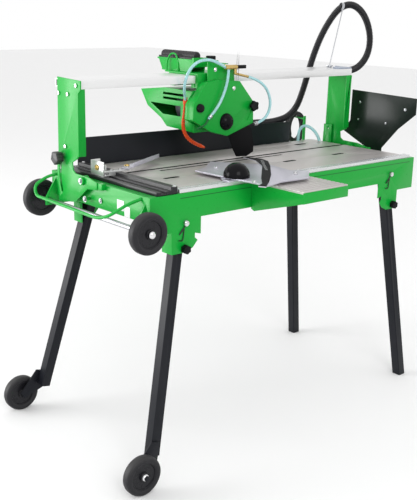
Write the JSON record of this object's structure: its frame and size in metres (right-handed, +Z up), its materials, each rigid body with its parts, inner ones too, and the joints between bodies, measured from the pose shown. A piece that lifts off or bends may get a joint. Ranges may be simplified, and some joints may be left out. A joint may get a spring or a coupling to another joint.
{
  "type": "bench wet tile saw",
  "caption": "Bench wet saw for tiles: folding wheeled legs, water tray, slotted table, tilting bridge, and a sliding carriage with a guarded plunging motor head.",
  "frame": {"origin": "on the floor under the middle of the saw", "axes": "+X along the table to the right, +Y away from the user, +Z up"},
  "size_m": [1.6196, 0.8856, 1.4405],
  "materials": {
    "green_paint": "bright green gloss paint",
    "black_paint": "black powder coat",
    "aluminium": "extruded, satin",
    "steel": "zinc plated",
    "chrome": "bright plated",
    "brass": "machined",
    "rubber": "matt",
    "tyre": "solid rubber",
    "black_plastic": "moulded black",
    "clear_hose": "soft clear hose",
    "orange_plastic": "jointed orange hose",
    "motor_grey": "grey enamel"
  },
  "bodies": {
    "bench": {"frame_sides": "green_paint", "frame_ends": "green_paint", "water_tray": "black_paint", "table_plates": "aluminium", "front_rail": "aluminium", "side_rail": "black_paint", "tow_handle": "green_paint", "upper_axle": "steel", "clamp_ears": "green_paint", "leg_pins": "steel", "splash_guard": "black_paint", "inlet_hose": "clear_hose", "mains_gland": "black_plastic", "mains_lead": "rubber", "mains_coil": "rubber", "mains_plug": "black_plastic"},
    "bridge": {"uprights": "green_paint", "beam": "aluminium", "beam_cap": "motor_grey", "bridge_bolts": "chrome", "whip_rod": "chrome", "conduit": "black_plastic"},
    "carriage": {"saddle": "green_paint", "grip": "black_plastic"},
    "head": {"guard_front": "green_paint", "guard_rear": "green_paint", "motor_housing": "green_paint", "motor": "motor_grey", "water_valve": "brass", "water_hoses": "clear_hose", "spray_hose": "orange_plastic", "splash_flap": "rubber"},
    "spindle": {"blade_hub": "steel"},
    "valve_lever": {"valve_lever": "black_plastic"},
    "depth_knob": {"depth_knob": "black_plastic"},
    "tilt_knob": {"tilt_knob": "black_plastic"},
    "extension": {"extension_frame": "green_paint", "extension_top": "aluminium"},
    "guide": {"guide_base": "aluminium"},
    "fence": {"guide_fence": "aluminium"},
    "guide_knob": {"guide_knob": "black_plastic"},
    "side_stop": {"stop_bracket": "steel"},
    "stop_arm": {"stop_arm": "steel"},
    "leg_front_left": {"leg_front_left": "black_paint"},
    "leg_knob_front_left": {"leg_knob_front_left": "black_plastic"},
    "leg_rear_left": {"leg_rear_left": "black_paint"},
    "leg_knob_rear_left": {"leg_knob_rear_left": "black_plastic"},
    "leg_front_right": {"leg_front_right": "black_paint"},
    "leg_knob_front_right": {"leg_knob_front_right": "black_plastic"},
    "leg_rear_right": {"leg_rear_right": "black_paint"},
    "leg_knob_rear_right": {"leg_knob_rear_right": "black_plastic"},
    "wheel_upper_front": {"tyre_upper_front": "tyre", "hub_upper_front": "black_plastic"},
    "wheel_upper_rear": {"tyre_upper_rear": "tyre", "hub_upper_rear": "black_plastic"},
    "wheel_lower_front": {"tyre_lower_front": "tyre", "hub_lower_front": "black_plastic"},
    "wheel_lower_rear": {"tyre_lower_rear": "tyre", "hub_lower_rear": "black_plastic"}
  },
  "joints": [
    {"name": "leg_front_left_fold", "type": "hinge", "parent": "bench", "child": "leg_front_left", "pos_m": [-0.51632, -0.18375, 0.783], "axis": [0, -0.9924, 0.1232], "range_deg": [0, 103.14]},
    {"name": "leg_knob_front_left_turn", "type": "hinge", "parent": "bench", "child": "leg_knob_front_left", "pos_m": [-0.52032, -0.21775, 0.704], "axis": [0, -1, 0], "continuous": true},
    {"name": "leg_rear_left_fold", "type": "hinge", "parent": "bench", "child": "leg_rear_left", "pos_m": [-0.51632, 0.28825, 0.783], "axis": [0, -0.9924, -0.1232], "range_deg": [0, 103.14]},
    {"name": "leg_knob_rear_left_turn", "type": "hinge", "parent": "bench", "child": "leg_knob_rear_left", "pos_m": [-0.52032, 0.32225, 0.704], "axis": [0, 1, 0], "continuous": true},
    {"name": "leg_front_right_fold", "type": "hinge", "parent": "bench", "child": "leg_front_right", "pos_m": [0.46268, -0.18375, 0.825], "axis": [0, 0.9977, -0.0677], "range_deg": [0, 98.8]},
    {"name": "leg_knob_front_right_turn", "type": "hinge", "parent": "bench", "child": "leg_knob_front_right", "pos_m": [0.48468, -0.21775, 0.708], "axis": [0, -1, 0], "continuous": true},
    {"name": "leg_rear_right_fold", "type": "hinge", "parent": "bench", "child": "leg_rear_right", "pos_m": [0.46268, 0.28825, 0.825], "axis": [0, 0.9977, 0.0677], "range_deg": [0, 98.8]},
    {"name": "leg_knob_rear_right_turn", "type": "hinge", "parent": "bench", "child": "leg_knob_rear_right", "pos_m": [0.48468, 0.32225, 0.708], "axis": [0, 1, 0], "continuous": true},
    {"name": "wheel_upper_front_spin", "type": "hinge", "parent": "bench", "child": "wheel_upper_front", "pos_m": [-0.67732, -0.24675, 0.781], "axis": [0, 1, 0], "continuous": true},
    {"name": "wheel_upper_rear_spin", "type": "hinge", "parent": "bench", "child": "wheel_upper_rear", "pos_m": [-0.67732, 0.35125, 0.781], "axis": [0, 1, 0], "continuous": true},
    {"name": "wheel_lower_front_spin", "type": "hinge", "parent": "leg_front_left", "child": "wheel_lower_front", "pos_m": [-0.74732, -0.31175, 0.0625], "axis": [0, 1, 0], "continuous": true},
    {"name": "wheel_lower_rear_spin", "type": "hinge", "parent": "leg_rear_left", "child": "wheel_lower_rear", "pos_m": [-0.74732, 0.41625, 0.0625], "axis": [0, 1, 0], "continuous": true},
    {"name": "bridge_tilt", "type": "hinge", "parent": "bench", "child": "bridge", "pos_m": [-0.02432, 0.10725, 0.875], "axis": [1, 0, 0], "range_deg": [0, 45], "deforming": ["conduit"]},
    {"name": "tilt_knob_turn", "type": "hinge", "parent": "bench", "child": "tilt_knob", "pos_m": [-0.67332, 0.22589, 0.93287], "axis": [-1, 0, 0], "continuous": true},
    {"name": "carriage_slide", "type": "slide", "parent": "bridge", "child": "carriage", "axis": [1, 0, 0], "range_m": [-0.3, 0.33]},
    {"name": "head_plunge", "type": "slide", "parent": "carriage", "child": "head", "axis": [0, 0, 1], "range_m": [-0.036, 0], "deforming": ["splash_flap"]},
    {"name": "depth_knob_turn", "type": "hinge", "parent": "carriage", "child": "depth_knob", "pos_m": [-0.08032, 0.18225, 1.229], "axis": [0, 0, 1], "continuous": true},
    {"name": "spindle_spin", "type": "hinge", "parent": "head", "child": "spindle", "pos_m": [-0.09932, 0.10725, 1.025], "axis": [0, 1, 0], "continuous": true},
    {"name": "valve_turn", "type": "hinge", "parent": "head", "child": "valve_lever", "pos_m": [-0.04932, 0.07425, 1.21], "axis": [1, 0, 0], "range_deg": [0, 90]},
    {"name": "extension_slide", "type": "slide", "parent": "bench", "child": "extension", "axis": [1, 0, 0], "range_m": [-0.25, 0.2]},
    {"name": "guide_slide", "type": "slide", "parent": "bench", "child": "guide", "axis": [1, 0, 0], "range_m": [-0.02, 0.5]},
    {"name": "guide_swing", "type": "hinge", "parent": "guide", "child": "fence", "pos_m": [-0.29732, -0.20125, 0.893], "axis": [0, 0, 1], "range_deg": [-26, 55]},
    {"name": "guide_knob_turn", "type": "hinge", "parent": "guide", "child": "guide_knob", "pos_m": [-0.29732, -0.20125, 0.905], "axis": [0, 0, 1], "continuous": true},
    {"name": "side_stop_slide", "type": "slide", "parent": "bench", "child": "side_stop", "axis": [0, 1, 0], "range_m": [-0.2, 0.08]},
    {"name": "stop_arm_swing", "type": "hinge", "parent": "side_stop", "child": "stop_arm", "pos_m": [-0.51532, 0.08225, 0.904], "axis": [0, 0, 1], "range_deg": [-15, 0]}
  ]
}
